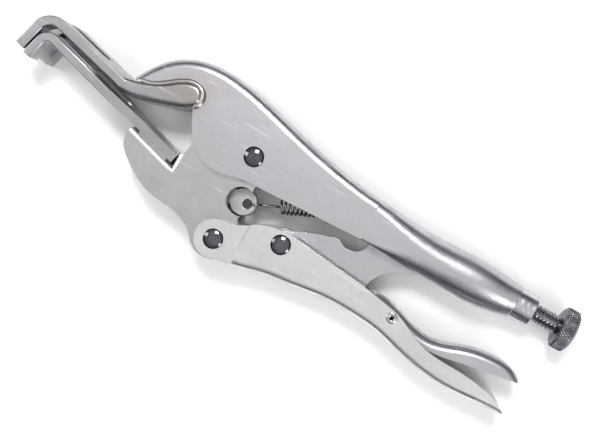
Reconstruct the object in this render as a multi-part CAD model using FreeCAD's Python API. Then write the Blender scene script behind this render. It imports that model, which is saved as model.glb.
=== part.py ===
import FreeCAD, Part
import math
import os

# Locking pliers with two forked clamping jaws, jaws closed and handles locked.
# The tool lies on its side.  While it is being built, the jaw pivot is the
# origin, X runs along the adjusting screw toward the knob, Y runs toward the
# back of the upper handle, and Z is the pivots' direction with z = 0 on the
# tool's middle plane.  The finished set is moved to its bottom centre.
# All sizes are millimetres.

V = FreeCAD.Vector
LINE, ARC, CURVE = "line", "arc", "curve"

# ---- widths across the tool -------------------------------------------------
SIDE = 10.3                 # outermost flat faces: fork tines, rivet heads
HANDLE_HALF = 8.8           # outer half width of the upper handle channel
HANDLE_WALL = 2.0           # sheet thickness of both handles
SIDE_GAP = 0.4              # side play between nested channels
JAW_WALL = 2.4              # sheet thickness of the lower jaw
JOGGLE = 0.6                # how far the lower handle steps in behind its ears

HANDLE_INNER = HANDLE_HALF - HANDLE_WALL
JAW_HALF = HANDLE_INNER - SIDE_GAP
JAW_INNER = JAW_HALF - JAW_WALL
GRIP_HALF = HANDLE_HALF - JOGGLE
GRIP_INNER = GRIP_HALF - HANDLE_WALL

# ---- pivots -----------------------------------------------------------------
JAW_PIVOT = (0.0, 0.0)
HANDLE_PIVOT = (1.3, -34.4)
LINK_PIVOT = (24.7, -24.0)
RELEASE_PIVOT = (74.5, -27.6)
LINK_END = (85.0, 0.0)      # centre of the link's round end, on the screw axis

RIVET_R = 3.0
RIVET_HEAD_R = 3.9
RIVET_HEAD_H = SIDE - HANDLE_HALF
RUNNING = 0.05              # radial clearance of a part turning on a rivet
RELEASE_RIVET_R = 1.5
RELEASE_HEAD_R = 2.15
RELEASE_BORE_R = 0.75
RELEASE_HEAD_H = 0.5

# ---- adjusting screw --------------------------------------------------------
THREAD_R = 3.6
THREAD_DEPTH = 0.62
THREAD_PITCH = 1.5
THREAD_PLAY = 0.35
SCREW_TIP_GAP = 2.0         # between the link's round end and the screw tip
LINK_END_R = 3.5
COLLAR_R = 6.25
COLLAR_START = 112.4
COLLAR_LENGTH = 8.4
COLLAR_CHAMFER = 0.7
SLEEVE_R = 4.9
SLEEVE_START = 103.0
KNOB_START = 131.2
KNOB_LENGTH = 6.0
KNOB_R = 8.35
KNOB_EDGE = 0.9
KNOB_SPIGOT_R = 2.6
KNURL_DEPTH = 0.45
KNURL_COUNT = 34
KNURL_LEAN = 32.0
SCREW_GROOVE = 1.5          # width of the groove along the exposed thread

# ---- forks ------------------------------------------------------------------
UPPER_BAR = 3.8             # thickness of the upper fork
LOWER_BAR = 3.6             # thickness of the lower fork
TINE_GAP = 3.7              # half of the gap between a fork's two tines
ROOT_HALF = 6.0             # half width of the lower fork where it is seated
ROOT_ROUND = 2.1            # rounding of the upper fork's swollen root
ROOT_WELD_R = 1.1           # bead between the root and the handle's wall
SEAT_SLOPE = -16.2          # lower bar's angle in degrees
SEAT_POINT = (-67.7, -5.7)  # a point on the lower bar's under face
SEAT_END = -27.0            # where the lower bar stops in its seat
SEAT_FOLD = 3.0             # outer bend radius of the jaw sheet at the seat

# ---- springs and small parts ------------------------------------------------
SPRING_WIRE_R = 0.45
SPRING_R = 2.45             # coil centreline radius
SPRING_PITCH = 1.7
SPRING_TURNS = 15
HOOK_R = 2.3
LUG_CENTRE = (3.2, -17.4)
LUG_R = 5.3
LUG_HALF = 1.2
LUG_HOLE = (5.0, -17.4)
LUG_HOLE_R = 1.9
HANGER_HOLE = (50.0, 2.4)
HANGER_HOLE_R = 1.6
LINK_HALF = 2.5             # half thickness of the toggle link
LINK_NOTCH = (47.5, -7.4)
LINK_NOTCH_R = 6.2
LEVER_HALF = GRIP_INNER - SIDE_GAP
LEVER_WALL = 1.4


def contour(start, *moves):
    """Closed wire in the XY plane from a start point and a run of moves."""
    first = V(start[0], start[1], 0)
    here = first
    edges = []
    for kind, *points in moves:
        points = [V(x, y, 0) for x, y in points]
        if kind == LINE:
            for point in points:
                edges.append(Part.makeLine(here, point))
                here = point
        elif kind == ARC:
            edges.append(Part.Arc(here, points[0], points[1]).toShape())
            here = points[1]
        else:
            curve = Part.BSplineCurve()
            curve.interpolate([here] + points)
            edges.append(curve.toShape())
            here = points[-1]
    if here.distanceToPoint(first) > 1e-6:
        edges.append(Part.makeLine(here, first))
    return Part.Wire(edges)


def prism(wire, low, high):
    """Solid between two heights with a flat outline."""
    face = Part.Face(wire)
    face.translate(V(0, 0, low))
    return face.extrude(V(0, 0, high - low))


def slab(wire, half):
    return prism(wire, -half, half)


def pin(at, radius, low, high):
    return Part.makeCylinder(radius, high - low, V(at[0], at[1], low))


def rod(radius, start, end):
    """Cylinder on the screw axis."""
    return Part.makeCylinder(radius, end - start, V(start, 0, 0), V(1, 0, 0))


def block(x0, x1, y0, y1, z0, z1):
    return Part.makeBox(x1 - x0, y1 - y0, z1 - z0, V(x0, y0, z0))


def middle_of(edge):
    return edge.valueAt((edge.FirstParameter + edge.LastParameter) / 2)


def rim(solid, half, wanted):
    """Edges on both flat sides of a slab whose middle passes the test."""
    found = []
    for edge in solid.Edges:
        places = [middle_of(edge)] + [vertex.Point for vertex in edge.Vertexes]
        if all(abs(abs(place.z) - half) < 1e-3 for place in places):
            if abs(places[0].z - places[1].z) < 1e-3 and wanted(places[0]):
                found.append(edge)
    return found


def smooth(points):
    curve = Part.BSplineCurve()
    curve.interpolate([V(x, y, 0) for x, y in points])
    return curve


def moved_in(points, wall):
    """Points of a curved sheet's other face, square to the curve through
    the given points; a positive wall moves them to the curve's left."""
    curve = smooth(points)
    found = []
    for x, y in points:
        along = curve.tangent(curve.parameter(V(x, y, 0)))[0]
        found.append((x - along.y * wall, y + along.x * wall))
    return found


def channel_space(points, wall, far):
    """Outline of the open space inside a folded sheet: the curve moved in
    by the wall, closed by a straight side at the height called far."""
    inner = moved_in(points, wall)
    return contour(inner[0], (CURVE, *inner[1:]), (LINE, (inner[-1][0], far), (inner[0][0], far)))


def on_line(point, slope, x):
    return point[1] + math.tan(math.radians(slope)) * (x - point[0])


# ---- bent fork bars ---------------------------------------------------------
def unit(degrees):
    return V(math.cos(math.radians(degrees)), math.sin(math.radians(degrees)), 0)


def bent_bar(tip, leg_angle, arm_point, arm_angle, arm_end, thickness, radius):
    """Outline of a hooked bar: a leg, one bend and a straight arm.

    tip is the middle of the leg's end, leg_angle points from it to the bend,
    arm_point is on the arm's middle line, and arm_end is the arm's last x.
    """
    leg = unit(leg_angle)
    arm = unit(arm_angle)
    start = V(*tip, 0)
    through = V(*arm_point, 0)
    gap = through - start
    cross = leg.x * arm.y - leg.y * arm.x
    corner = start + leg * ((gap.x * arm.y - gap.y * arm.x) / cross)
    finish = through + arm * ((arm_end - through.x) / arm.x)
    half_turn = leg.getAngle(arm) / 2
    bisector = (arm - leg).normalize()
    centre = corner + bisector * (radius / math.cos(half_turn))
    leg_side = V(leg.y, -leg.x, 0)
    arm_side = V(arm.y, -arm.x, 0)

    def ring(offset):
        r = radius - offset
        return (centre - leg_side * r, centre - bisector * r, centre - arm_side * r)

    inner = ring(thickness / 2)
    outer = ring(-thickness / 2)
    xy = [(p.x, p.y) for p in inner + outer]
    h = thickness / 2
    a = start + leg_side * h
    b = start - leg_side * h
    c = finish - arm_side * h
    d = finish + arm_side * h
    return contour((a.x, a.y), (LINE, xy[0]), (ARC, xy[1], xy[2]), (LINE, (d.x, d.y)),
                   (LINE, (c.x, c.y)), (LINE, xy[5]), (ARC, xy[4], xy[3]), (LINE, (b.x, b.y)))


def tine_slot(tip_x, end_x):
    """Tool that splits a bar into two tines, with a round inner end."""
    stop = end_x - TINE_GAP
    box = block(tip_x, stop, -60, 60, -TINE_GAP, TINE_GAP)
    end = Part.makeCylinder(TINE_GAP, 120, V(stop, -60, 0), V(0, 1, 0))
    return box.fuse(end)


def root_outline():
    """The upper fork's swollen root, as seen from the side."""
    return contour((-60.0, 2.7), (CURVE, (-52.3, 3.9), (-42.0, 8.4), (-36.6, 12.0), (-32.2, 13.2)),
                   (ARC, (-28.2, 11.4), (-27.6, 7.2)),
                   (CURVE, (-30.6, 4.3), (-36.0, 1.9), (-44.0, -0.6), (-52.0, -2.6), (-60.0, -2.0)))


def upper_root():
    body = slab(root_outline(), SIDE)
    edges = rim(body, SIDE, lambda m: m.x > -59.9)
    return body.makeFillet(ROOT_ROUND, edges)


def upper_fork():
    bar = slab(bent_bar((-98.1, -6.1), 73.7, (-83.0, 6.9), -14.6, -56.0, UPPER_BAR, 6.6), SIDE)
    bar = bar.makeFillet(0.6, rim(bar, SIDE, lambda m: True))
    bar = bar.cut(tine_slot(-110, -68.0))
    return bar.fuse(upper_root()).removeSplitter()


def lower_fork():
    arm_mid = (SEAT_POINT[0], SEAT_POINT[1] + LOWER_BAR / 2 / math.cos(math.radians(SEAT_SLOPE)))
    bar = slab(bent_bar((-94.0, -8.1), 74.3, arm_mid, SEAT_SLOPE, SEAT_END, LOWER_BAR, 3.8), SIDE)
    plan = []
    for side in (1, -1):
        plan.append([(-110, side * SIDE), (-60, side * SIDE), (-46, side * ROOT_HALF),
                     (-20, side * ROOT_HALF)])
    near, far = plan
    points = [V(x, 40, z) for x, z in near + far[::-1]]
    shape = Part.Face(Part.makePolygon(points + points[:1])).extrude(V(0, -80, 0))
    bar = bar.common(shape)
    bar = bar.makeFillet(0.6, rim(bar, SIDE, lambda m: True))
    return bar.cut(tine_slot(-110, -53.0))


# ---- upper handle -----------------------------------------------------------
# Stations of the closed tube: x, top, bottom, half width, top and bottom radius.
JOINT_X = 50.0
BACK_ROUND = 4.0
TUBE = (
    (JOINT_X, 9.0, -7.4, HANDLE_HALF, BACK_ROUND + 0.6, 0.7),
    (62.0, 7.9, -8.1, HANDLE_HALF, 6.0, 3.0),
    (74.0, 7.3, -8.9, HANDLE_HALF, 7.6, 6.4),
    (86.0, 7.6, -9.4, 8.7, 8.3, 8.2),
    (96.0, 7.9, -9.4, 8.6, 8.5, 8.5),
    (103.0, 7.3, -8.6, 7.9, 7.8, 7.8),
    (COLLAR_START, 6.5, -6.5, 6.5, 6.4, 6.4),
)


def section(x, top, bottom, half, r_top, r_bottom):
    """Rounded rectangle across the screw axis."""
    s = math.sqrt(0.5)
    corners = ((top - r_top, half - r_top, r_top, 1, 1), (bottom + r_bottom, half - r_bottom, r_bottom, -1, 1),
               (bottom + r_bottom, r_bottom - half, r_bottom, -1, -1), (top - r_top, r_top - half, r_top, 1, -1))
    edges = []
    ends = []
    for y, z, r, up, side in corners:
        a = V(x, y + up * r, z)
        b = V(x, y, z + side * r)
        mid = V(x, y + up * r * s, z + side * r * s)
        if up * side < 0:
            a, b = b, a
        edges.append(Part.Arc(a, mid, b).toShape())
        ends.append((a, b))
    joined = []
    for index, edge in enumerate(edges):
        joined.append(edge)
        joined.append(Part.makeLine(ends[index][1], ends[(index + 1) % 4][0]))
    return Part.Wire(joined)


def tube(stations, inset):
    wires = []
    for x, top, bottom, half, r_top, r_bottom in stations:
        wires.append(section(x, top - inset, bottom + inset, half - inset,
                             max(r_top - inset, 0.4), max(r_bottom - inset, 0.4)))
    return Part.makeLoft(wires, True, False)


HANDLE_BACK = ((-54.7, 4.4), (-52.0, 9.0), (-46.2, 16.0), (-38.0, 21.1), (-28.0, 23.2), (-12.0, 21.8),
               (10.0, 16.2), (33.0, 11.1), (JOINT_X, TUBE[0][1]))


def handle_outline():
    belly = ((-2.0, -10.1), (-8.5, -11.6), (-15.0, -11.2), (-21.0, -8.1), (-26.2, -1.2), (-29.2, 5.2))
    return contour(HANDLE_BACK[0], (CURVE, *HANDLE_BACK[1:]), (LINE, (JOINT_X, TUBE[0][2]), (5.7, -9.3)),
                   (CURVE, *belly), (CURVE, (-36.0, 6.0), (-44.0, 3.4), (-50.0, 1.4)))


def upper_handle():
    shell = slab(handle_outline(), HANDLE_HALF)
    shell = shell.makeFillet(BACK_ROUND, rim(shell, HANDLE_HALF, lambda m: m.y > 9.0))
    past_joint = (JOINT_X + 4.0, TUBE[0][1] - 0.4)
    space = slab(channel_space(HANDLE_BACK + (past_joint,), -HANDLE_WALL, -30.0), HANDLE_INNER)
    space = space.makeFillet(BACK_ROUND - HANDLE_WALL, rim(space, HANDLE_INNER, lambda m: m.y > 9.0))
    shell = shell.cut(space)
    rear = tube(TUBE, 0).cut(tube(TUBE[:-1], HANDLE_WALL))
    rear = rear.cut(rod(SLEEVE_R, SLEEVE_START - 2, COLLAR_START + 1))
    half_slot = LINK_HALF + 1.1
    open_half = HANDLE_INNER - 0.3
    plan = ((JOINT_X - 1, open_half), (JOINT_X + 6, open_half), (JOINT_X + 16, half_slot),
            (91, half_slot), (96, 0.5), (COLLAR_START + 1, 0.5))
    points = [V(x, -20, z) for x, z in plan] + [V(x, -20, -z) for x, z in plan[::-1]]
    opening = Part.Face(Part.makePolygon(points + points[:1])).extrude(V(0, 15, 0))
    body = shell.fuse(rear.cut(opening))
    body = body.cut(pin(JAW_PIVOT, RIVET_R, -SIDE, SIDE)).cut(upper_root())
    return biggest(body.removeSplitter())


def root_welds(fork):
    """Round beads where the upper fork's root meets the handle's walls."""
    run = ((-51.0, 4.5), (-42.0, 8.4), (-36.6, 12.0), (-32.2, 13.2), (-28.2, 11.4), (-27.6, 7.2), (-28.9, 5.6))
    path = smooth(run)
    along = path.tangent(path.FirstParameter)[0]
    start = V(*run[0], HANDLE_HALF)
    side = V(-along.y, along.x, 0) * ROOT_WELD_R
    crown = Part.Arc(start + side, start + V(0, 0, ROOT_WELD_R), start - side).toShape()
    profile = Part.Wire([crown, Part.makeLine(start - side, start + side)])
    line = path.toShape()
    line.translate(V(0, 0, HANDLE_HALF))
    bead = Part.Wire(line).makePipeShell([profile], True, False)
    left = biggest(bead.cut(fork))
    return left, left.mirror(V(0, 0, 0), V(0, 0, 1))


def biggest(shape):
    return max(shape.Solids, key=lambda solid: solid.Volume)


# ---- lower jaw --------------------------------------------------------------
def seat_y(x):
    return on_line(SEAT_POINT, SEAT_SLOPE, x)


def seat_space(grow):
    """Outline of the seat that the lower bar lies in, grown into the sheet."""
    drop = grow / math.cos(math.radians(SEAT_SLOPE))
    bend = 2.0
    end = SEAT_END + grow
    corner = (end, seat_y(end) - drop)
    return contour((-80, 30), (LINE, (-80, seat_y(-80) - drop), (corner[0] - bend - 0.4, seat_y(end - bend - 0.4) - drop)),
                   (ARC, (end - 0.55, corner[1] + 0.75), (end, corner[1] + bend + 0.4)),
                   (LINE, (end, 30)))


def jaw_outline():
    tip = -46.2
    shoulder = (-24.6, -12.4)
    lobe = 8.2
    x, y = HANDLE_PIVOT
    return contour((tip, seat_y(tip) - 0.2),
                   (CURVE, (-47.6, -14.9), (-46.6, -20.0), (-42.4, -24.3), (-37.0, -28.0), (-28.0, -31.6),
                    (-17.5, -32.9), (-12.0, -34.9), (-7.4, -38.9)),
                   (ARC, (x, y - lobe), (x + lobe, y)),
                   (CURVE, (8.6, -29.4), (5.4, -24.1)),
                   (LINE, (5.4, -9.0), (10.0, 0.0)),
                   (ARC, (0.0, 10.0), (-8.0, 6.0)),
                   (LINE, (-23.2, -5.5), shoulder, (SEAT_END, shoulder[1] - 1.2), (SEAT_END, seat_y(SEAT_END)),
                    (tip, seat_y(tip))))


def lower_jaw():
    seat = seat_space(0.0)
    body = slab(jaw_outline(), JAW_HALF).cut(slab(seat, JAW_HALF + 1))

    def in_seat(mid):
        return -46.0 < mid.x < SEAT_END + 0.1 and mid.y > seat_y(mid.x) - 0.5 and mid.y < -12.5

    body = body.makeFillet(SEAT_FOLD, rim(body, JAW_HALF, in_seat))
    web = slab(seat_space(JAW_WALL), JAW_INNER + 1)
    inside = block(-60, 20, -50, 20, -JAW_INNER, JAW_INNER).cut(web)
    body = body.cut(inside)
    for at in (JAW_PIVOT, HANDLE_PIVOT):
        body = body.cut(pin(at, RIVET_R + RUNNING, -SIDE, SIDE))
    return body.cut(pin(LUG_CENTRE, LUG_R + SIDE_GAP, -SIDE, SIDE))


def seat_welds(jaw):
    """Beads under both long edges of the lower bar, against the fold."""
    depth = 1.7
    x0, x1 = -43.5, -29.5
    outline = contour((x0, seat_y(x0)), (LINE, (x0 + 0.5, seat_y(x0) - depth), (x1, seat_y(x1) - depth),
                                         (x1, seat_y(x1))))
    bead = prism(outline, JAW_INNER - 0.5, ROOT_HALF + 0.2).cut(jaw)
    left = biggest(bead)
    return left, left.mirror(V(0, 0, 0), V(0, 0, 1))


def spring_lug():
    """Round eye for the spring with a block root between the jaw's plates."""
    x, y = LUG_CENTRE
    eye = pin(LUG_CENTRE, LUG_R, -LUG_HALF, LUG_HALF)
    tongue = block(x - 9.0, x, y - 3.2, y + 3.2, -LUG_HALF, LUG_HALF)
    root = block(x - 11.0, x - 7.0, y - 3.2, y + 3.2, -JAW_INNER, JAW_INNER)
    body = eye.fuse(tongue).fuse(root)
    return body.cut(pin(LUG_HOLE, LUG_HOLE_R, -SIDE, SIDE)).removeSplitter()


def spring_hanger(handle):
    x, y = HANGER_HOLE
    tab = block(x - 2.6, x + 3.4, y - 3.0, y + 5.6, -LUG_HALF, LUG_HALF)
    tab = tab.makeFillet(1.2, [e for e in tab.Edges if e.BoundBox.ZLength > 1 and e.BoundBox.YMin < y])
    return biggest(tab.cut(pin(HANGER_HOLE, HANGER_HOLE_R, -SIDE, SIDE)).cut(handle))


# ---- lower handle, link and release lever -----------------------------------
EAR_R = 7.5
GRIP_START = 10.8


GRIP_FLOOR = ((GRIP_START, -40.5), (16.0, -39.4), (23.0, -37.6), (35.0, -35.9), (48.0, -34.1), (60.0, -34.0),
              (72.0, -35.2), (82.0, -37.8), (92.0, -39.9), (105.0, -41.0), (121.0, -39.9), (127.4, -39.8))


def grip_outline():
    return contour(GRIP_FLOOR[0], (CURVE, *GRIP_FLOOR[1:]), (LINE, (128.0, -38.6)),
                   (CURVE, (124.4, -36.3), (119.0, -34.5), (111.0, -33.2), (103.0, -32.7), (95.0, -32.4),
                    (89.0, -31.2), (82.5, -28.3), (76.2, -25.6), (68.4, -23.9), (60.0, -22.4)),
                   (LINE, (25.0, -18.9)), (CURVE, (19.5, -19.6), (15.0, -20.9), (GRIP_START, -23.4)))


def ear_outline():
    x, y = HANDLE_PIVOT
    return contour((x - 1.9, y + 7.25), (CURVE, (5.6, -25.9), (GRIP_START + 0.6, -23.0)),
                   (LINE, (GRIP_START + 0.6, -40.4)),
                   (CURVE, (7.0, -40.6), (x + 1.5, y - 7.35)), (ARC, (x - EAR_R, y), (x - 1.9, y + 7.25)))


def lower_handle():
    shell = slab(grip_outline(), GRIP_HALF)
    shell = shell.makeFillet(3.0, rim(shell, GRIP_HALF, lambda m: m.y < -33.6 and 20 < m.x < 120))
    space = slab(channel_space(GRIP_FLOOR, HANDLE_WALL, 0.0), GRIP_INNER)
    space = space.makeFillet(1.2, rim(space, GRIP_INNER, lambda m: m.y < -30.0))
    shell = shell.cut(space).cut(block(GRIP_START - 1, GRIP_START + 2, -38.3, 0, -GRIP_INNER, GRIP_INNER))
    shell = shell.cut(block(122, 130, -37.6, 0, -GRIP_INNER, GRIP_INNER))
    ears = prism(ear_outline(), HANDLE_INNER, HANDLE_HALF)
    ears = ears.makeChamfer(0.5, [e for e in rim(ears, HANDLE_HALF, lambda m: m.x > GRIP_START + 0.5)])
    body = shell.fuse([ears, ears.mirror(V(0, 0, 0), V(0, 0, 1))])
    for at, radius in ((HANDLE_PIVOT, RIVET_R), (LINK_PIVOT, RIVET_R), (RELEASE_PIVOT, RELEASE_RIVET_R)):
        body = body.cut(pin(at, radius, -SIDE, SIDE))
    return body.removeSplitter()


def toggle_link():
    x, y = LINK_PIVOT
    ex, ey = LINK_END
    nx, ny = LINK_NOTCH
    r = LINK_NOTCH_R
    lobe = 6.4
    lip = math.sqrt(r * r - (-11.6 - ny) ** 2)
    outline = contour((x - lobe, y), (ARC, (x - 4.2, y + 4.83), (x, y + lobe - 0.6)),
                      (CURVE, (34.4, -14.2), (nx - lip, -11.6)),
                      (ARC, (nx + 0.6, ny - r + 0.03), (nx + 6.1, ny + 1.1)),
                      (CURVE, (60.0, -2.6), (72.0, 1.4), (ex, ey + LINK_END_R)),
                      (ARC, (ex + LINK_END_R, ey), (ex, ey - LINK_END_R)),
                      (CURVE, (76.8, -8.6), (68.6, -12.2), (63.7, -15.4), (61.0, -19.3), (60.2, -22.6)),
                      (LINE, (58.6, -25.2), (x + 2.0, y - 6.08)), (ARC, (x - 4.6, y - 4.45), (x - lobe, y)))
    boss = pin(LINK_PIVOT, lobe - 0.8, -(GRIP_INNER - 0.35), GRIP_INNER - 0.35)
    body = slab(outline, LINK_HALF).fuse(boss)
    return body.cut(pin(LINK_PIVOT, RIVET_R + RUNNING, -SIDE, SIDE)).removeSplitter()


LEVER_BACK = ((64.0, -24.6), (67.0, -23.0), (73.0, -23.7), (80.0, -25.9), (88.0, -27.9), (94.0, -27.7),
              (101.0, -25.4), (108.5, -23.1), (116.0, -22.1), (123.0, -22.6), (127.8, -25.0))


def release_lever():
    under = ((120.0, -27.4), (111.5, -28.9), (103.9, -30.4), (96.0, -31.8), (86.0, -32.2), (74.0, -31.6),
             (66.5, -29.0))
    outline = contour(LEVER_BACK[0], (CURVE, *LEVER_BACK[1:]), (LINE, (128.0, -26.2)), (CURVE, *under))
    body = slab(outline, LEVER_HALF)
    body = body.makeFillet(3.0, rim(body, LEVER_HALF, lambda m: m.y > -29.0 and 70 < m.x < 120))
    inner_half = LEVER_HALF - LEVER_WALL
    space = slab(channel_space(LEVER_BACK, -LEVER_WALL, -50.0), inner_half)
    space = space.makeFillet(1.6, rim(space, inner_half, lambda m: m.y > -30.0 and 70 < m.x < 120))
    body = body.cut(space)
    return biggest(body.cut(pin(RELEASE_PIVOT, RELEASE_RIVET_R + RUNNING, -SIDE, SIDE)))


# ---- rivets, screw, knob and spring -----------------------------------------
def rivet(at, wall):
    """Solid rivet with a low domed head on both sides."""
    body = pin(at, RIVET_R, -wall, wall)
    for low in (wall, -wall - RIVET_HEAD_H):
        head = pin(at, RIVET_HEAD_R, low, low + RIVET_HEAD_H)
        outer = low + RIVET_HEAD_H if low > 0 else low
        body = body.fuse(head.makeFillet(0.9, [e for e in head.Edges
                                               if abs(e.BoundBox.ZMin - outer) < 1e-4 and e.BoundBox.ZLength < 1e-4]))
    return body.removeSplitter()


def hollow_rivet(at, wall):
    body = pin(at, RELEASE_RIVET_R, -wall, wall)
    for low in (wall, -wall - RELEASE_HEAD_H):
        body = body.fuse(pin(at, RELEASE_HEAD_R, low, low + RELEASE_HEAD_H))
    return body.cut(pin(at, RELEASE_BORE_R, -SIDE, SIDE)).removeSplitter()


def end_collar():
    end = COLLAR_START + COLLAR_LENGTH
    head = rod(COLLAR_R, COLLAR_START, end)
    head = head.makeChamfer(COLLAR_CHAMFER, [e for e in head.Edges if e.BoundBox.XMin > end - 1e-4])
    body = head.fuse(rod(SLEEVE_R, SLEEVE_START, COLLAR_START))
    return body.cut(rod(THREAD_R + THREAD_PLAY, SLEEVE_START - 1, end + 1)).removeSplitter()


def adjusting_screw():
    start = LINK_END[0] + LINK_END_R + SCREW_TIP_GAP
    end = KNOB_START - SIDE_GAP
    root = THREAD_R - THREAD_DEPTH
    flat = THREAD_PITCH / 8
    points = [(start, 0.0), (start, root - 1.0), (start + 1.0, root), (start + 1.6, root)]
    count = int((end - 0.4 - start - 1.6) / THREAD_PITCH)
    x = start + 1.6
    for _ in range(count):
        rise = (THREAD_PITCH - 2 * flat) / 2
        points += [(x + rise, THREAD_R), (x + rise + flat, THREAD_R), (x + 2 * rise + flat, root),
                   (x + THREAD_PITCH, root)]
        x += THREAD_PITCH
    points += [(end, root), (end, KNOB_SPIGOT_R), (KNOB_START + KNOB_LENGTH, KNOB_SPIGOT_R),
               (KNOB_START + KNOB_LENGTH, 0.0)]
    outline = [V(px, r, 0) for px, r in points]
    face = Part.Face(Part.makePolygon(outline + outline[:1]))
    body = face.revolve(V(0, 0, 0), V(1, 0, 0), 360)
    groove = block(SLEEVE_START, end, -SCREW_GROOVE / 2, SCREW_GROOVE / 2, root - 0.1, SIDE)
    return body.cut(groove)


def adjusting_knob():
    body = rod(KNOB_R, KNOB_START, KNOB_START + KNOB_LENGTH)
    body = body.makeFillet(KNOB_EDGE, [e for e in body.Edges if e.BoundBox.XLength < 1e-4])
    middle = KNOB_START + KNOB_LENGTH / 2
    reach = KNOB_LENGTH
    w = KNURL_DEPTH
    cuts = []
    for lean in (KNURL_LEAN, -KNURL_LEAN):
        wedge = Part.Face(Part.makePolygon([V(-reach, KNOB_R - w, 0), V(-reach, KNOB_R + 0.3, w + 0.3),
                                            V(-reach, KNOB_R + 0.3, -w - 0.3), V(-reach, KNOB_R - w, 0)]))
        wedge = wedge.extrude(V(2 * reach, 0, 0))
        wedge.rotate(V(0, 0, 0), V(0, 1, 0), lean)
        for index in range(KNURL_COUNT):
            tooth = wedge.copy()
            tooth.rotate(V(0, 0, 0), V(1, 0, 0), 360.0 * index / KNURL_COUNT)
            tooth.translate(V(middle, 0, 0))
            cuts.append(tooth)
    body = body.cut(cuts)
    return biggest(body.cut(rod(KNOB_SPIGOT_R + RUNNING, KNOB_START - 1, KNOB_START + KNOB_LENGTH + 1)))


def wire_run(points):
    """Round wire through straight runs with ball corners."""
    parts = [Part.makeSphere(SPRING_WIRE_R * 1.02, point) for point in points]
    for a, b in zip(points, points[1:]):
        parts.append(Part.makeCylinder(SPRING_WIRE_R, (b - a).Length, a, b - a))
    return parts


def return_spring():
    """Pull spring built along +X, then laid from the lug to the hanger."""
    a = V(*LUG_HOLE, 0)
    b = V(*HANGER_HOLE, 0)
    span = (b - a).Length
    body_length = SPRING_TURNS * SPRING_PITCH
    start = 12.6
    helix = Part.makeHelix(SPRING_PITCH, body_length, SPRING_R)
    profile = Part.Wire(Part.makeCircle(SPRING_WIRE_R, V(SPRING_R, 0, 0), V(0, 1, 0)))
    coil = Part.Wire(helix).makePipeShell([profile], True, True)
    coil.rotate(V(0, 0, 0), V(0, 1, 0), 90)
    coil.translate(V(start, 0, 0))
    first = V(start, 0, -SPRING_R)
    last = V(start + body_length, 0, -SPRING_R)
    near = HOOK_R + 0.9
    far = span - HOOK_R - 0.4
    parts = [coil]
    for centre, side, coil_end in ((near, 1, first), (far, -1, last)):
        ring = Part.makeTorus(HOOK_R, SPRING_WIRE_R, V(centre, 0, 0), V(0, 1, 0))
        parts.append(ring)
        neck = V(centre + side * HOOK_R, 0, 0)
        parts += wire_run([neck, V(coil_end.x - side * 1.5, 0, -1.2), coil_end])
    spring = parts[0].fuse(parts[1:])
    spring.rotate(V(0, 0, 0), V(0, 0, 1), math.degrees(math.atan2(b.y - a.y, b.x - a.x)))
    spring.translate(a)
    return spring


def build():
    handle = upper_handle()
    fork = upper_fork()
    jaw = lower_jaw()
    top_weld, top_weld_far = root_welds(fork)
    seat_weld, seat_weld_far = seat_welds(jaw)
    return {
        "upper_handle": handle,
        "end_collar": end_collar(),
        "upper_jaw_fork": fork,
        "upper_weld_left": top_weld,
        "upper_weld_right": top_weld_far,
        "spring_hanger": spring_hanger(handle),
        "jaw_pivot_rivet": rivet(JAW_PIVOT, HANDLE_HALF),
        "lower_jaw": jaw,
        "lower_jaw_fork": lower_fork(),
        "lower_weld_left": seat_weld,
        "lower_weld_right": seat_weld_far,
        "spring_lug": spring_lug(),
        "return_spring": return_spring(),
        "lower_handle": lower_handle(),
        "handle_pivot_rivet": rivet(HANDLE_PIVOT, HANDLE_HALF),
        "link_pivot_rivet": rivet(LINK_PIVOT, GRIP_HALF),
        "release_pivot_rivet": hollow_rivet(RELEASE_PIVOT, GRIP_HALF),
        "toggle_link": toggle_link(),
        "release_lever": release_lever(),
        "adjusting_screw": adjusting_screw(),
        "adjusting_knob": adjusting_knob(),
    }


def main():
    nodes = build()
    box = FreeCAD.BoundBox()
    for shape in nodes.values():
        box.add(shape.optimalBoundingBox(False))
    shift = V(-box.Center.x, -box.Center.y, -box.ZMin)
    os.makedirs("parts", exist_ok=True)
    for name, shape in nodes.items():
        shape.translate(shift)
        shape.exportStep("parts/" + name + ".step")


main()
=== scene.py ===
"""Looks of a pair of locking clamp pliers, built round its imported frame.

Every sheet, bar and link starts from its frame node: a merged copy gets rounded
edges and a plated finish. The rivets, the collar, the screw, the knob and the
return spring are made as new pieces. All sizes are metres.
"""

import logging
import math
from dataclasses import dataclass, field
from enum import Enum

import bmesh
import bpy
from mathutils import Matrix, Vector

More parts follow.
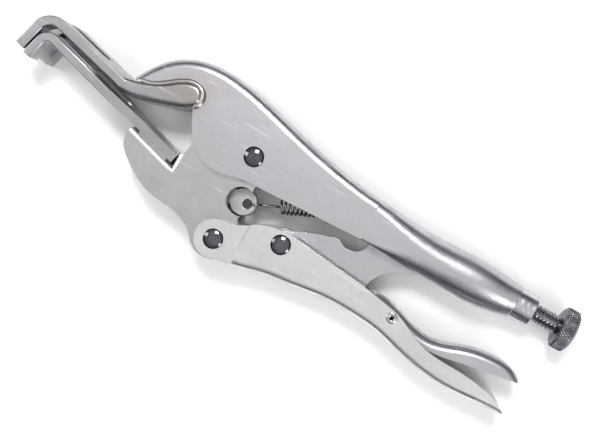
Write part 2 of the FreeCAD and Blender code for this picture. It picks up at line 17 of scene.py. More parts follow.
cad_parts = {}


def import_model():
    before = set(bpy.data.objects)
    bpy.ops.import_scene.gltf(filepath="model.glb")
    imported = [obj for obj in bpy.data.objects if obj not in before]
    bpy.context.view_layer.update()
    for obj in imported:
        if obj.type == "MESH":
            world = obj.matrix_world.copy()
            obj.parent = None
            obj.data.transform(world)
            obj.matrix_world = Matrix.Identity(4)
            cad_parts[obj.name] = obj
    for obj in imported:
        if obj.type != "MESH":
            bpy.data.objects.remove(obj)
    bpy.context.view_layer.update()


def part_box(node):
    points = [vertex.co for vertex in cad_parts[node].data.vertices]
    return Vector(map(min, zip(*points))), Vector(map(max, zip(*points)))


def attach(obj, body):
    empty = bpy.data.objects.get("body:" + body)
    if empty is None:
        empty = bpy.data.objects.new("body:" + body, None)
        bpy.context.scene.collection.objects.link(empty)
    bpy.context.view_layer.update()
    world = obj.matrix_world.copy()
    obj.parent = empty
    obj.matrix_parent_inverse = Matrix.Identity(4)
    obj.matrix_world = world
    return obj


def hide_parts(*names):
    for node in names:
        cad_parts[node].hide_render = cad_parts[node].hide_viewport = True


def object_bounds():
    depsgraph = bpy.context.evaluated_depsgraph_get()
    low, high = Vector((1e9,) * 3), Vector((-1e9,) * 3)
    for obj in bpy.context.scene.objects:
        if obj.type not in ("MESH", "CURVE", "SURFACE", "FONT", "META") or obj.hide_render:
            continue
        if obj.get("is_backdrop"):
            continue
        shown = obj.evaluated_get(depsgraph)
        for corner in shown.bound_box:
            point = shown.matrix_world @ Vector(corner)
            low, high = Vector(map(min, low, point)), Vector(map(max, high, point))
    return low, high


LOG = logging.getLogger("pliers")
Colour = tuple[float, float, float]
Triple = tuple[float, float, float]


# Patterns of the plated finish: scales per metre, then stretches, depths and shares.
MOTTLE_SCALE = 95.0
SWELL_SCALE = 130.0
PATCH_SCALE = 320.0
SCUFF_SCALE = 900.0
SPECK_SCALE = 1500.0
MARK_SCALE = 2600.0
MARK_STRETCH = (0.06, 1.0, 1.0)
SCUFF_STRETCH = (0.05, 1.0, 1.0)
SCUFF_TURN = 0.5
SCUFF_ROUGH = 0.12
MARK_DEPTH = 0.00003
SPECK_SHARE = 0.30
SPECK_COLOUR: Colour = (0.42, 0.41, 0.43)
HEAT_SHARE = 0.42
HEAT_COLOUR: Colour = (0.36, 0.31, 0.25)
# Factors between which a noise pattern turns from its first value to its second.
MOTTLE_BAND = (0.30, 0.72)
SPECK_BAND = (0.56, 0.74)
SCUFF_BAND = (0.60, 0.70)


class Body(Enum):
    """Bodies of the frame that pieces ride on."""

    FIXED_HANDLE = "fixed_handle"
    MOVING_JAW = "moving_jaw"
    MOVING_HANDLE = "moving_handle"
    LINK = "link"
    RELEASE = "release"
    SCREW = "screw"
    KNOB = "knob"


class Slot(Enum):
    """Names of material slots, carried by the sheet pieces."""

    PLATED = "plated_steel"
    WELD = "weld_steel"
    DARK = "dark_steel"
    CHROME = "chrome_rivet"
    COLLAR = "collar_steel"
    SCREW = "screw_steel"
    KNOB = "knob_steel"
    SPRING = "spring_steel"


# ---- finishes ---------------------------------------------------------------
@dataclass
class NodeBoard:
    """Small helper that adds shader nodes to one material."""

    material: bpy.types.Material

    def __post_init__(self) -> None:
        """Empty the node tree and keep hold of it."""
        self.material.use_nodes = True
        self.tree = self.material.node_tree
        self.tree.nodes.clear()

    def add(self, kind: str, **values: object) -> bpy.types.Node:
        """Add a node.

        Args:
            kind: Blender's name for the node type.
            **values: Plain properties to set on it.

        Returns:
            The new node.
        """
        node = self.tree.nodes.new(kind)
        for name, value in values.items():
            setattr(node, name, value)
        return node

    def link(self, source: bpy.types.NodeSocket, target: bpy.types.NodeSocket) -> None:
        """Join two sockets.

        Args:
            source: Output that the value comes from.
            target: Input that it goes to.
        """
        self.tree.links.new(source, target)

    def place(self, stretch: Triple = (1, 1, 1), turn: float = 0.0) -> bpy.types.NodeSocket:
        """Object coordinates, stretched and turned.

        Args:
            stretch: Scale along each axis.
            turn: Turn about Z in radians.

        Returns:
            The vector socket to feed a pattern with.
        """
        where = self.add("ShaderNodeTexCoord")
        mapping = self.add("ShaderNodeMapping")
        mapping.inputs["Scale"].default_value = stretch
        mapping.inputs["Rotation"].default_value = (0.0, 0.0, turn)
        self.link(where.outputs["Object"], mapping.inputs["Vector"])
        return mapping.outputs["Vector"]

    def noise(self, vector: bpy.types.NodeSocket, scale: float, detail: float = 3.0,
              roughness: float = 0.55) -> bpy.types.NodeSocket:
        """Noise pattern.

        Args:
            vector: Coordinates of the pattern.
            scale: Features per metre.
            detail: Octaves.
            roughness: Weight of the finer octaves.

        Returns:
            The factor socket.
        """
        node = self.add("ShaderNodeTexNoise")
        node.inputs["Scale"].default_value = scale
        node.inputs["Detail"].default_value = detail
        node.inputs["Roughness"].default_value = roughness
        self.link(vector, node.inputs["Vector"])
        return node.outputs["Fac"]

    def spread(self, value: bpy.types.NodeSocket, low: float, high: float, start: float = 0.3,
               end: float = 0.7) -> bpy.types.NodeSocket:
        """Map a factor to a range.

        Args:
            value: The factor.
            low: Result at start.
            high: Result at end.
            start: Factor that gives low.
            end: Factor that gives high.

        Returns:
            The mapped value.
        """
        node = self.add("ShaderNodeMapRange", interpolation_type="SMOOTHSTEP")
        node.inputs["From Min"].default_value = start
        node.inputs["From Max"].default_value = end
        node.inputs["To Min"].default_value = low
        node.inputs["To Max"].default_value = high
        self.link(value, node.inputs["Value"])
        return node.outputs["Result"]

    def blend(self, share: bpy.types.NodeSocket, first: Colour | bpy.types.NodeSocket,
              second: Colour | bpy.types.NodeSocket) -> bpy.types.NodeSocket:
        """Mix two colours.

        Args:
            share: How much of the second.
            first: A colour or a colour socket.
            second: A colour or a colour socket.

        Returns:
            The mixed colour.
        """
        node = self.add("ShaderNodeMix", data_type="RGBA")
        for index, colour in ((6, first), (7, second)):
            if isinstance(colour, tuple):
                node.inputs[index].default_value = (*colour, 1.0)
            else:
                self.link(colour, node.inputs[index])
        self.link(share, node.inputs[0])
        return node.outputs[2]

    def relief(self, height: bpy.types.NodeSocket, depth: float, strength: float = 1.0,
               under: bpy.types.NodeSocket | None = None) -> bpy.types.NodeSocket:
        """Bump from a height pattern.

        Args:
            height: The pattern.
            depth: Its real depth in metres.
            strength: Share of it that is used.
            under: Normal that it lies on.

        Returns:
            The new normal.
        """
        node = self.add("ShaderNodeBump")
        node.inputs["Distance"].default_value = depth
        node.inputs["Strength"].default_value = strength
        self.link(height, node.inputs["Height"])
        if under is not None:
            self.link(under, node.inputs["Normal"])
        return node.outputs["Normal"]


@dataclass(frozen=True)
class Plate:
    """Satin plated steel with mottling, polishing marks and fine pits."""

    name: str
    light: Colour = (0.545, 0.53, 0.555)
    dark: Colour = (0.42, 0.415, 0.44)
    rough_low: float = 0.27
    rough_high: float = 0.40
    turn: float = 0.0
    wave: float = 0.00012
    pits: float = 0.000035
    heat: tuple[float, float, float, float] | None = None

    def material(self) -> bpy.types.Material:
        """Build the material.

        Returns:
            A material that reads object coordinates only.
        """
        made = bpy.data.materials.new(self.name)
        board = NodeBoard(made)
        flat = board.place()
        lined = board.place(MARK_STRETCH, self.turn)
        mottle = board.noise(flat, MOTTLE_SCALE, 4.0, 0.6)
        speck = board.noise(flat, SPECK_SCALE, 2.0, 0.5)
        marks = board.noise(lined, MARK_SCALE, 3.0, 0.65)
        scratched = board.place(SCUFF_STRETCH, self.turn + SCUFF_TURN)
        scuffs = board.noise(scratched, SCUFF_SCALE, 2.0, 0.6)
        colour = board.blend(board.spread(mottle, 0.0, 1.0, *MOTTLE_BAND), self.light, self.dark)
        colour = board.blend(board.spread(speck, 0.0, SPECK_SHARE, *SPECK_BAND), colour, SPECK_COLOUR)
        if self.heat is not None:
            x, y, z, reach = self.heat
            where = board.add("ShaderNodeTexCoord")
            away = board.add("ShaderNodeVectorMath", operation="DISTANCE")
            away.inputs[1].default_value = (x, y, z)
            board.link(where.outputs["Object"], away.inputs[0])
            near = board.spread(away.outputs["Value"], HEAT_SHARE, 0.0, reach * 0.25, reach)
            colour = board.blend(near, colour, HEAT_COLOUR)
        shader = board.add("ShaderNodeBsdfPrincipled")
        shader.inputs["Metallic"].default_value = 1.0
        board.link(colour, shader.inputs["Base Color"])
        rough = board.spread(mottle, self.rough_low, self.rough_high, *MOTTLE_BAND)
        polish = board.add("ShaderNodeMath", operation="MULTIPLY_ADD", use_clamp=True)
        board.link(board.spread(scuffs, 0.0, 1.0, *SCUFF_BAND), polish.inputs[0])
        polish.inputs[1].default_value = SCUFF_ROUGH
        board.link(rough, polish.inputs[2])
        board.link(polish.outputs["Value"], shader.inputs["Roughness"])
        swell = board.relief(board.noise(flat, SWELL_SCALE, 2.0, 0.5), self.wave, 0.6)
        lines = board.relief(marks, MARK_DEPTH, 0.5, swell)
        fine = board.relief(speck, self.pits, 0.6, lines)
        board.link(fine, shader.inputs["Normal"])
        out = board.add("ShaderNodeOutputMaterial")
        board.link(shader.outputs["BSDF"], out.inputs["Surface"])
        return made


@dataclass(frozen=True)
class Bright:
    """Smooth metal: polished rivets, turned collar, dark thread and knob."""

    name: str
    light: Colour
    dark: Colour
    rough_low: float
    rough_high: float
    scale: float = 400.0
    stretch: Triple = (1.0, 1.0, 1.0)
    depth: float = 0.00001

    def material(self) -> bpy.types.Material:
        """Build the material.

        Returns:
            A material that reads object coordinates only.
        """
        made = bpy.data.materials.new(self.name)
        board = NodeBoard(made)
        place = board.place(self.stretch)
        patches = board.noise(board.place(), PATCH_SCALE, 3.0, 0.6)
        lines = board.noise(place, self.scale, 3.0, 0.6)
        shader = board.add("ShaderNodeBsdfPrincipled")
        shader.inputs["Metallic"].default_value = 1.0
        colour = board.blend(board.spread(patches, 0.0, 1.0), self.light, self.dark)
        board.link(colour, shader.inputs["Base Color"])
        board.link(board.spread(lines, self.rough_low, self.rough_high), shader.inputs["Roughness"])
        board.link(board.relief(lines, self.depth, 0.7), shader.inputs["Normal"])
        out = board.add("ShaderNodeOutputMaterial")
        board.link(shader.outputs["BSDF"], out.inputs["Surface"])
        return made


# ---- mesh helpers -----------------------------------------------------------
def to_object(shape: bmesh.types.BMesh, node: str, material: bpy.types.Material, body: Body,
              crease: float) -> bpy.types.Object:
    """Turn a bmesh into a finished piece that stands for a frame node.

    Args:
        shape: The mesh, which is freed.
        node: Frame node that it stands for, which gives the piece its name.
        material: Its finish.
        body: Body that it rides on.
        crease: Angle in degrees above which an edge stays sharp.

    Returns:
        The new object.
    """
    for face in shape.faces:
        face.smooth = True
    for edge in shape.edges:
        edge.smooth = len(edge.link_faces) != 2 or edge.calc_face_angle(0.0) < math.radians(crease)
    name = "piece_" + node
    mesh = bpy.data.meshes.new(name)
    shape.to_mesh(mesh)
    shape.free()
    mesh.materials.append(material)
    made = bpy.data.objects.new(name, mesh)
    bpy.context.scene.collection.objects.link(made)
    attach(made, body.value)
    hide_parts(node)
    return made


def lathe(profile: list[tuple[float, float]], at: Vector, axis: Vector,
          steps: int) -> bmesh.types.BMesh:
    """Spin a profile round an axis.

    Args:
        profile: Pairs of distance along the axis and radius.
        at: Point that the distances are counted from.
        axis: Unit direction of the axis.
        steps: Number of segments round.

    Returns:
        A closed bmesh with normals outward.
    """
    shape = bmesh.new()
    side = axis.orthogonal().normalized()
    line = [shape.verts.new(at + axis * along + side * radius) for along, radius in profile]
    edges = [shape.edges.new(pair) for pair in zip(line, line[1:])]
    bmesh.ops.spin(shape, geom=line + edges, cent=at, axis=axis, angle=math.tau, steps=steps,
                   use_merge=True)
    bmesh.ops.remove_doubles(shape, verts=shape.verts[:], dist=1e-6)
    bmesh.ops.recalc_face_normals(shape, faces=shape.faces[:])
    return shape


@dataclass
class SheetPiece:
    """A frame node's merged copy with rounded edges."""

    node: str
    body: Body
    slot: Slot
    join: float
    edge: float = 0.00022
    crease: float = 38.0
    flat_limit: float = 0.4
    shade_crease: float = 50.0

    def build(self, material: bpy.types.Material) -> bpy.types.Object:
        """Copy, merge and round the node.

        Args:
            material: The finish to put on it.

        Returns:
            The finished piece.
        """
        shape = bmesh.new()
        shape.from_mesh(bpy.data.objects[self.node].data)
        bmesh.ops.remove_doubles(shape, verts=shape.verts[:], dist=self.join)
        bmesh.ops.dissolve_limit(shape, angle_limit=math.radians(self.flat_limit),
                                 verts=shape.verts[:], edges=shape.edges[:])
        sharp = [edge for edge in shape.edges if len(edge.link_faces) == 2
                 and edge.calc_face_angle(0.0) > math.radians(self.crease)]
        bmesh.ops.bevel(shape, geom=sharp, offset=self.edge, offset_type="OFFSET", segments=2,
                        profile=0.5, affect="EDGES", clamp_overlap=True, material=-1)
        made = to_object(shape, self.node, material, self.body, self.shade_crease)
        flats = made.modifiers.new("true_flats", "WEIGHTED_NORMAL")
        flats.mode = "FACE_AREA"
        flats.weight = 80
        flats.keep_sharp = True
        return made


# ---- sub-assemblies ---------------------------------------------------------
@dataclass
class Sheets:
    """All folded sheets, bars, links and welds."""

    bar_turn: float = math.radians(15.0)
    heat_offset: float = 0.006
    bar_heat: float = 0.016
    handle_heat: float = 0.012
    join: float = 1e-6
    coarse_join: float = 2e-5
    coarse: tuple[str, ...] = ("upper_handle",)

    def build(self) -> list[bpy.types.Object]:
        """Build and dress every sheet piece.

        Returns:
            The pieces.
        """
        low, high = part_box("upper_weld_left")
        root = ((low.x + high.x) / 2 + self.heat_offset, (low.y + high.y) / 2, high.z)
        main = Plate("satin_plate").material()
        forks = Plate("fork_plate", light=(0.46, 0.455, 0.47), dark=(0.32, 0.32, 0.335),
                      turn=self.bar_turn, heat=(*root, self.bar_heat), rough_low=0.24,
                      rough_high=0.38).material()
        weld = Plate("weld_plate", light=(0.50, 0.47, 0.45), dark=(0.33, 0.31, 0.30),
                     wave=0.0005).material()
        dull = Plate("dull_plate", light=(0.54, 0.535, 0.54), dark=(0.38, 0.375, 0.38),
                     rough_low=0.30, rough_high=0.52).material()
        moving = Plate("moving_plate", light=(0.76, 0.745, 0.76),
                       dark=(0.60, 0.59, 0.605)).material()
        jaw = Plate("jaw_plate", light=(0.54, 0.53, 0.545), dark=(0.41, 0.405, 0.42)).material()
        handle = Plate("handle_plate", heat=(*root, self.handle_heat)).material()
        wanted = (
            ("upper_handle", Body.FIXED_HANDLE, Slot.PLATED, handle),
            ("upper_jaw_fork", Body.FIXED_HANDLE, Slot.PLATED, forks),
            ("upper_weld_left", Body.FIXED_HANDLE, Slot.WELD, weld),
            ("upper_weld_right", Body.FIXED_HANDLE, Slot.WELD, weld),
            ("spring_hanger", Body.FIXED_HANDLE, Slot.DARK, dull),
            ("lower_jaw", Body.MOVING_JAW, Slot.PLATED, jaw),
            ("lower_jaw_fork", Body.MOVING_JAW, Slot.PLATED, forks),
            ("lower_weld_left", Body.MOVING_JAW, Slot.WELD, weld),
            ("lower_weld_right", Body.MOVING_JAW, Slot.WELD, weld),
            ("spring_lug", Body.MOVING_JAW, Slot.DARK, dull),
            ("lower_handle", Body.MOVING_HANDLE, Slot.PLATED, moving),
            ("toggle_link", Body.LINK, Slot.PLATED, main),
            ("release_lever", Body.RELEASE, Slot.PLATED, main),
        )
        made = []
        for node, body, slot, finish in wanted:
            join = self.coarse_join if node in self.coarse else self.join
            made.append(SheetPiece(node, body, slot, join).build(finish))
        return made


@dataclass
class Rivets:
    """Three domed rivets and one hollow rivet."""

    dome: float = 0.00055
    dome_line: tuple[tuple[float, float], ...] = ((0.0, 0.0), (0.10, 0.28), (0.42, 0.55), (1.0, 0.80))
    head: float = 0.0015
    shank: float = 0.77
    hollow_head: float = 0.0005
    hollow_shank: float = 0.70
    hollow_bore: float = 0.35
    roll_height: float = 0.6
    roll_steps: int = 8
    steps: int = 64
    crease: float = 60.0
    # Painted reflection: the near-black colour of the domed rivets stands in for the dark room that
    # their polished heads reflect.
    finish: Bright = Bright("polished_rivet_painted_dark_reflection", (0.16, 0.165, 0.175), (0.10, 0.105, 0.115),
                            0.04, 0.09, 700.0)
    hollow_finish: Bright = Bright("hollow_rivet", (0.62, 0.62, 0.63), (0.40, 0.40, 0.42),
                                   0.16, 0.30, 700.0)
    bodies: dict[str, Body] = field(default_factory=lambda: {
        "jaw_pivot_rivet": Body.FIXED_HANDLE,
        "handle_pivot_rivet": Body.MOVING_HANDLE,
        "link_pivot_rivet": Body.MOVING_HANDLE,
    })

    def domed(self, node: str, body: Body, material: bpy.types.Material) -> bpy.types.Object:
        """One solid rivet with a low dome and a rolled rim on both heads.

        Args:
            node: Frame node of the rivet.
            body: Body that it rides on.
            material: Its finish.

        Returns:
            The piece.
        """
        low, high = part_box(node)
        centre = (low + high) / 2
        radius = (high.x - low.x) / 2
        half = (high.z - low.z) / 2
        under = half - self.head
        shank = radius * self.shank
        top = [(half - self.dome * drop, radius * out) for drop, out in self.dome_line]
        top += [(half - self.dome - 0.00022, radius * 0.93), (half - self.dome - 0.00055, radius),
                (under, radius), (under, shank)]
        profile = top + [(-along, out) for along, out in top[::-1]]
        shape = lathe(profile, centre, Vector((0, 0, 1)), self.steps)
        return to_object(shape, node, material, body, self.crease)

    def hollow(self, material: bpy.types.Material) -> bpy.types.Object:
        """The release lever's rivet with a rolled lip round its hole.

        Args:
            material: Its finish.

        Returns:
            The piece.
        """
        node = "release_pivot_rivet"
        low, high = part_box(node)
        centre = (low + high) / 2
        radius = (high.x - low.x) / 2
        half = (high.z - low.z) / 2
        bore = radius * self.hollow_bore
        lip = (radius - bore) / 2
        middle = (radius + bore) / 2
        rise = self.roll_height
        roll = []
        for step in range(self.roll_steps + 1):
            angle = math.pi * step / self.roll_steps
            roll.append((half - lip * rise + lip * rise * math.sin(angle),
                         middle - lip * math.cos(angle)))
        under = half - self.hollow_head
        outer = roll + [(under, radius), (under, radius * self.hollow_shank)]
        profile = outer + [(-along, out) for along, out in outer[::-1]]
        profile.append(profile[0])
        shape = lathe(profile, centre, Vector((0, 0, 1)), self.steps)
        return to_object(shape, node, material, Body.MOVING_HANDLE, self.crease)

    def build(self) -> list[bpy.types.Object]:
        """Build all four rivets.

        Returns:
            The pieces.
        """
        chrome = self.finish.material()
        made = [self.domed(node, body, chrome) for node, body in self.bodies.items()]
        made.append(self.hollow(self.hollow_finish.material()))
        return made


@dataclass
class Collar:
    """Turned collar at the tube's end, with a sleeve inside the tube."""

    bore: float = 0.00395
    sleeve: float = 0.0049
    sleeve_length: float = 0.0094
    chamfer: float = 0.0008
    bore_chamfer: float = 0.0003
    shoulder: float = 0.0002
    lines: int = 3
    line_depth: float = 0.00002
    line_half: float = 0.00012
    line_start: float = 0.0003
    steps: int = 96
    crease: float = 30.0
    finish: Bright = Bright("turned_collar", (0.64, 0.645, 0.665), (0.50, 0.505, 0.525), 0.18, 0.32,
                            2200.0, (0.05, 1.0, 1.0), 0.000008)

    def build(self) -> bpy.types.Object:
        """Spin the collar with fine turned lines.

        Returns:
            The piece.
        """
        low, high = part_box("end_collar")
        radius = (high.y - low.y) / 2
        length = high.x - low.x
        at = Vector((low.x, (low.y + high.y) / 2, (low.z + high.z) / 2))
        start = self.sleeve_length
        profile = [(0.0, self.bore), (0.0, self.sleeve), (start, self.sleeve),
                   (start, radius - self.shoulder), (start + self.shoulder, radius)]
        span = length - self.chamfer - start - 0.0004
        for index in range(self.lines):
            here = start + self.line_start + span * (index + 0.5) / self.lines
            profile += [(here - self.line_half, radius), (here, radius - self.line_depth),
                        (here + self.line_half, radius)]
        profile += [(length - self.chamfer, radius), (length, radius - self.chamfer),
                    (length, self.bore + self.bore_chamfer), (length - self.bore_chamfer, self.bore)]
        profile.append(profile[0])
        shape = lathe(profile, at, Vector((1, 0, 0)), self.steps)
        return to_object(shape, "end_collar", self.finish.material(), Body.FIXED_HANDLE,
                         self.crease)


@dataclass
class Screw:
    """Adjusting screw with a real helical thread and a flat milled along it."""

    pitch: float = 0.0015
    depth: float = 0.00062
    steps: int = 40
    groove: float = 0.0015
    spigot: float = 0.0026
    knob_length: float = 0.006
    crest_drop: float = 0.00004
    groove_drop: float = 0.0001
    end_trim: float = 0.0004
    spigot_overlap: float = 0.0008
    spigot_steps: int = 40
    crease: float = 34.0
    finish: Bright = Bright("dark_thread", (0.30, 0.30, 0.32), (0.17, 0.17, 0.185), 0.18, 0.34,
                            900.0)

    def build(self) -> bpy.types.Object:
        """Spin one tooth along a helix, trim both ends and add the spigot.

        Returns:
            The piece.
        """
        low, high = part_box("adjusting_screw")
        radius = (high.y - low.y) / 2
        at = Vector((low.x, (low.y + high.y) / 2, (low.z + high.z) / 2))
        axis = Vector((1, 0, 0))
        root = radius - self.depth
        length = high.x - low.x - self.knob_length
        flat = self.pitch / 8
        shoulder = radius - self.crest_drop
        tooth = [(0.0, root), (self.pitch / 2 - flat, shoulder), (self.pitch / 2, radius),
                 (self.pitch / 2 + flat, shoulder), (self.pitch - flat, root), (self.pitch, root)]
        shape = bmesh.new()
        first = at - axis * self.pitch * 2
        line = [shape.verts.new(first + axis * along + Vector((0, 0, out))) for along, out in tooth]
        edges = [shape.edges.new(pair) for pair in zip(line, line[1:])]
        turns = int(length / self.pitch) + 5
        bmesh.ops.spin(shape, geom=line + edges, cent=at, axis=axis,
                       dvec=axis * self.pitch / self.steps, angle=math.tau * turns,
                       steps=self.steps * turns, use_merge=False)
        bmesh.ops.remove_doubles(shape, verts=shape.verts[:], dist=2e-6)
        for vert in shape.verts:
            offset = vert.co - at
            if abs(offset.y) < self.groove / 2 and offset.z > 0:
                vert.co.z = min(vert.co.z, at.z + root - self.groove_drop)
        for place, outward in ((at + axis * self.end_trim, -axis),
                               (at + axis * (length - self.end_trim), axis)):
            bmesh.ops.bisect_plane(shape, geom=shape.verts[:] + shape.edges[:] + shape.faces[:],
                                   plane_co=place, plane_no=outward, clear_outer=True, dist=1e-7)
        rims = [edge for edge in shape.edges if len(edge.link_faces) == 1]
        bmesh.ops.holes_fill(shape, edges=rims, sides=0)
        bmesh.ops.recalc_face_normals(shape, faces=shape.faces[:])
        near, far = length - self.spigot_overlap, length + self.knob_length
        spigot = [(near, 0.0), (near, self.spigot), (far, self.spigot), (far, 0.0)]
        end = lathe(spigot, at, axis, self.spigot_steps)
        scratch = bpy.data.meshes.new("spigot")
        end.to_mesh(scratch)
        end.free()
        shape.from_mesh(scratch)
        bpy.data.meshes.remove(scratch)
        return to_object(shape, "adjusting_screw", self.finish.material(), Body.SCREW,
                         self.crease)


@dataclass
class Knob:
    """Knob with a diamond knurl round its rim."""

    teeth: int = 46
    lean: float = math.radians(32.0)
    depth: float = 0.00042
    edge: float = 0.0009
    bore: float = 0.00262
    dish: float = 0.0005
    rows: int = 26
    per_tooth: int = 8
    rim_start: float = 0.0009
    face_share: float = 0.94
    face_drop: float = 0.00022
    fade: float = 0.0014
    fade_drop: float = 0.0005
    crease: float = 25.0
    finish: Bright = Bright("knurled_knob", (0.23, 0.23, 0.25), (0.10, 0.10, 0.115), 0.22, 0.38,
                            900.0)

    def build(self) -> bpy.types.Object:
        """Spin the rim and press the knurl into it.

        Returns:
            The piece.
        """
        low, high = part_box("adjusting_knob")
        radius = (high.y - low.y) / 2
        length = high.x - low.x
        at = Vector((low.x, (low.y + high.y) / 2, (low.z + high.z) / 2))
        face_r = radius - self.edge
        flat_r = face_r * self.face_share
        profile = [(0.0002, self.bore), (0.0, self.bore + 0.0003), (0.0, flat_r),
                   (self.face_drop, face_r)]
        for index in range(self.rows + 1):
            along = self.rim_start + (length - 2 * self.rim_start) * index / self.rows
            profile.append((along, radius))
        profile += [(length - self.face_drop, face_r), (length, flat_r), (length, self.bore + 0.0010),
                    (length - self.dish, self.bore + 0.0005), (length - self.dish, self.bore)]
        profile.append(profile[0])
        steps = self.teeth * self.per_tooth
        shape = lathe(profile, at, Vector((1, 0, 0)), steps)
        slope = math.tan(self.lean) / radius
        for vert in shape.verts:
            offset = vert.co - at
            out = math.hypot(offset.y, offset.z)
            if out < radius - 1e-6:
                continue
            angle = math.atan2(offset.z, offset.y)
            mid = offset.x - length / 2
            cut = 0.0
            for way in (1.0, -1.0):
                phase = (angle + way * mid * slope) * self.teeth / math.tau
                cut = max(cut, 1.0 - abs((phase % 1.0) - 0.5) * 4.0)
            edge_fade = min(1.0, (length / 2 - abs(mid)) / self.fade)
            drop = self.depth * max(0.0, cut)
            drop += (1.0 - edge_fade) ** 2 * self.fade_drop
            scale = (out - drop) / out
            vert.co = at + Vector((offset.x, offset.y * scale, offset.z * scale))
        return to_object(shape, "adjusting_knob", self.finish.material(), Body.KNOB,
                         self.crease)


@dataclass
class Spring:
    """Return spring: close coil with a ring at each end."""

    wire: float = 0.00045
    coil: float = 0.00245
    turns: float = 15.0
    pitch: float = 0.0017
    ring: float = 0.0023
    lead: float = 0.0126
    ring_sweep: float = 335.0
    ring_steps: int = 28
    coil_steps: int = 24
    eye: Triple = (0.0050, -0.0174, 0.0)
    tab: Triple = (0.0500, 0.0024, 0.0)
    crease: float = 60.0
    finish: Bright = Bright("spring_wire", (0.30, 0.29, 0.29), (0.17, 0.165, 0.165), 0.24, 0.42,
                            900.0)

    def loop(self, centre: float, start: float) -> list[Vector]:
        """Points of one end ring.

        Args:
            centre: Place of its centre along the spring.
            start: Angle in degrees that it starts from.

        Returns:
            The points in order.
        """
        points = []
        for step in range(self.ring_steps + 1):
            angle = math.radians(start + self.ring_sweep * step / self.ring_steps)
            points.append(Vector((centre + self.ring * math.cos(angle), 0.0,
                                  self.ring * math.sin(angle))))
        return points

    def path(self, span: float) -> list[Vector]:
        """Centre line of the wire along its own X axis.

        Args:
            span: Distance between the two holes that the rings sit in.

        Returns:
            Points from one ring to the other.
        """
        near = self.ring + 0.0009
        far = span - self.ring - 0.0004
        points = self.loop(near, 20.0)
        points.append(Vector((self.lead - 0.0035, 0.0, -0.0006)))
        points.append(Vector((self.lead - 0.0012, 0.0, -0.0017)))
        for step in range(int(self.turns * self.coil_steps) + 1):
            angle = math.tau * step / self.coil_steps
            points.append(Vector((self.lead + self.pitch * step / self.coil_steps,
                                  self.coil * math.sin(angle), -self.coil * math.cos(angle))))
        end = self.lead + self.pitch * self.turns
        points.append(Vector((end + 0.0012, 0.0, -0.0017)))
        points.append(Vector((end + 0.0032, 0.0, -0.0006)))
        points += self.loop(far, 185.0)
        return points

    def build(self) -> bpy.types.Object:
        """Sweep the wire and lay it between its two holes.

        Returns:
            The piece.
        """
        pivot = sum(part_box("jaw_pivot_rivet"), Vector()) / 2
        start = pivot + Vector(self.eye)
        line = pivot + Vector(self.tab) - start
        curve = bpy.data.curves.new("spring_line", "CURVE")
        curve.dimensions = "3D"
        curve.bevel_depth = self.wire
        curve.bevel_resolution = 3
        curve.use_fill_caps = True
        points = self.path(line.length)
        spline = curve.splines.new("POLY")
        spline.points.add(len(points) - 1)
        for spot, point in zip(spline.points, points):
            spot.co = (*point, 1.0)
        holder = bpy.data.objects.new("spring_line", curve)
        bpy.context.scene.collection.objects.link(holder)
        bpy.context.view_layer.update()
        swept = bpy.data.meshes.new_from_object(holder)
        bpy.data.objects.remove(holder)
        shape = bmesh.new()
        shape.from_mesh(swept)
        bpy.data.meshes.remove(swept)
        bmesh.ops.remove_doubles(shape, verts=shape.verts[:], dist=1e-7)
        place = Matrix.Translation(start) @ Matrix.Rotation(math.atan2(line.y, line.x), 4, "Z")
        bmesh.ops.transform(shape, matrix=place, verts=shape.verts[:])
        bmesh.ops.recalc_face_normals(shape, faces=shape.faces[:])
        return to_object(shape, "return_spring", self.finish.material(), Body.MOVING_JAW,
                         self.crease)


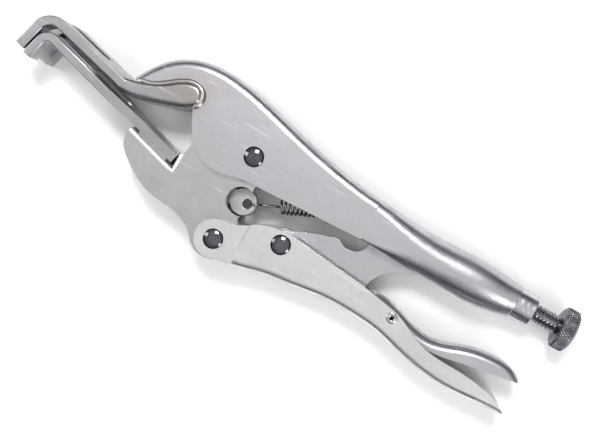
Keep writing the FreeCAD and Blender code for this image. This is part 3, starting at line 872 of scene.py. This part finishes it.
# ---- the room ---------------------------------------------------------------
@dataclass
class Studio:
    """Pale floor, soft lights, sky and camera."""

    floor_size: float = 20.0
    horizon: Colour = (0.035, 0.05, 0.075)
    zenith: Colour = (1.0, 0.985, 0.99)
    sky_power: float = 0.85
    sky_band: tuple[float, float] = (0.38, 0.93)
    floor_gap: float = 0.0001
    floor_tones: tuple[Colour, Colour] = ((0.955, 0.955, 0.955), (0.97, 0.97, 0.97))
    lens: float = 48.37
    shift: tuple[float, float] = (-0.12, 0.02)
    eye: Triple = (0.05932, 0.0114, 0.3090)
    turn: Triple = (-1.498, 2.505, 29.137)

    def floor(self) -> None:
        """Lay a plain pale floor just under the tool."""
        low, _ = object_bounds()
        shape = bmesh.new()
        bmesh.ops.create_grid(shape, x_segments=1, y_segments=1, size=self.floor_size,
                              matrix=Matrix.Translation((0, 0, low.z - self.floor_gap)))
        mesh = bpy.data.meshes.new("floor")
        shape.to_mesh(mesh)
        shape.free()
        paper = bpy.data.materials.new("floor_paper")
        board = NodeBoard(paper)
        shader = board.add("ShaderNodeBsdfPrincipled")
        tone = board.spread(board.noise(board.place(), 6.0, 2.0), 0.0, 1.0)
        board.link(board.blend(tone, *self.floor_tones), shader.inputs["Base Color"])
        shader.inputs["Roughness"].default_value = 0.8
        out = board.add("ShaderNodeOutputMaterial")
        board.link(shader.outputs["BSDF"], out.inputs["Surface"])
        mesh.materials.append(paper)
        made = bpy.data.objects.new("floor", mesh)
        bpy.context.scene.collection.objects.link(made)
        made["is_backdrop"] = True

    def lamp(self, name: str, at: Vector, target: Vector, size: tuple[float, float], power: float,
             colour: Colour = (1.0, 1.0, 1.0)) -> None:
        """Hang one soft rectangular light.

        Args:
            name: Name of the light.
            at: Its place.
            target: Point that it faces.
            size: Width and height.
            power: Power in watts.
            colour: Its colour.
        """
        data = bpy.data.lights.new(name, "AREA")
        data.shape = "RECTANGLE"
        data.size, data.size_y = size
        data.energy = power
        data.color = colour
        made = bpy.data.objects.new(name, data)
        made.location = at
        made.rotation_euler = (target - at).to_track_quat("-Z", "Y").to_euler()
        bpy.context.scene.collection.objects.link(made)

    def build(self) -> None:
        """Set the room up round the finished pieces."""
        self.floor()
        middle = Vector((0.0, 0.0, 0.01))
        self.lamp("window", Vector((-0.12, 0.42, 0.75)), middle, (0.24, 0.20), 4.3)
        self.lamp("left_strip", Vector((-0.92, -0.10, 0.44)), middle, (0.30, 0.9), 3.6,
                  (1.0, 0.99, 0.98))
        self.lamp("right_strip", Vector((0.75, -0.35, 0.50)), middle, (0.30, 0.8), 4.6,
                  (0.97, 0.98, 1.0))
        world = bpy.data.worlds.new("sky")
        world.use_nodes = True
        tree = world.node_tree
        back = tree.nodes["Background"]
        where = tree.nodes.new("ShaderNodeTexCoord")
        split = tree.nodes.new("ShaderNodeSeparateXYZ")
        ramp = tree.nodes.new("ShaderNodeValToRGB")
        ramp.color_ramp.elements[0].position = self.sky_band[0]
        ramp.color_ramp.elements[0].color = (*self.horizon, 1.0)
        ramp.color_ramp.elements[1].position = self.sky_band[1]
        ramp.color_ramp.elements[1].color = (*self.zenith, 1.0)
        tree.links.new(where.outputs["Generated"], split.inputs["Vector"])
        tree.links.new(split.outputs["Z"], ramp.inputs["Fac"])
        tree.links.new(ramp.outputs["Color"], back.inputs["Color"])
        back.inputs["Strength"].default_value = self.sky_power
        scene = bpy.context.scene
        scene.world = world
        scene.view_settings.view_transform = "Standard"
        pivot = sum(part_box("jaw_pivot_rivet"), Vector()) / 2
        data = bpy.data.cameras.new("camera")
        data.lens = self.lens
        data.sensor_width = 36.0
        data.shift_x, data.shift_y = self.shift
        data.clip_start = 0.01
        eye = bpy.data.objects.new("camera", data)
        eye.location = pivot + Vector(self.eye)
        eye.rotation_euler = [math.radians(angle) for angle in self.turn]
        scene.collection.objects.link(eye)
        scene.camera = eye


def main() -> None:
    """Build every sub-assembly in order and report each piece."""
    logging.basicConfig(level=logging.INFO, format="%(name)s: %(message)s")
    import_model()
    made = Sheets().build()
    made += Rivets().build()
    made.append(Collar().build())
    made.append(Screw().build())
    made.append(Knob().build())
    made.append(Spring().build())
    for piece in made:
        LOG.info("%s: %d faces", piece.name, len(piece.data.polygons))
    Studio().build()
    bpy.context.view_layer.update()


if __name__ == "__main__":
    main()
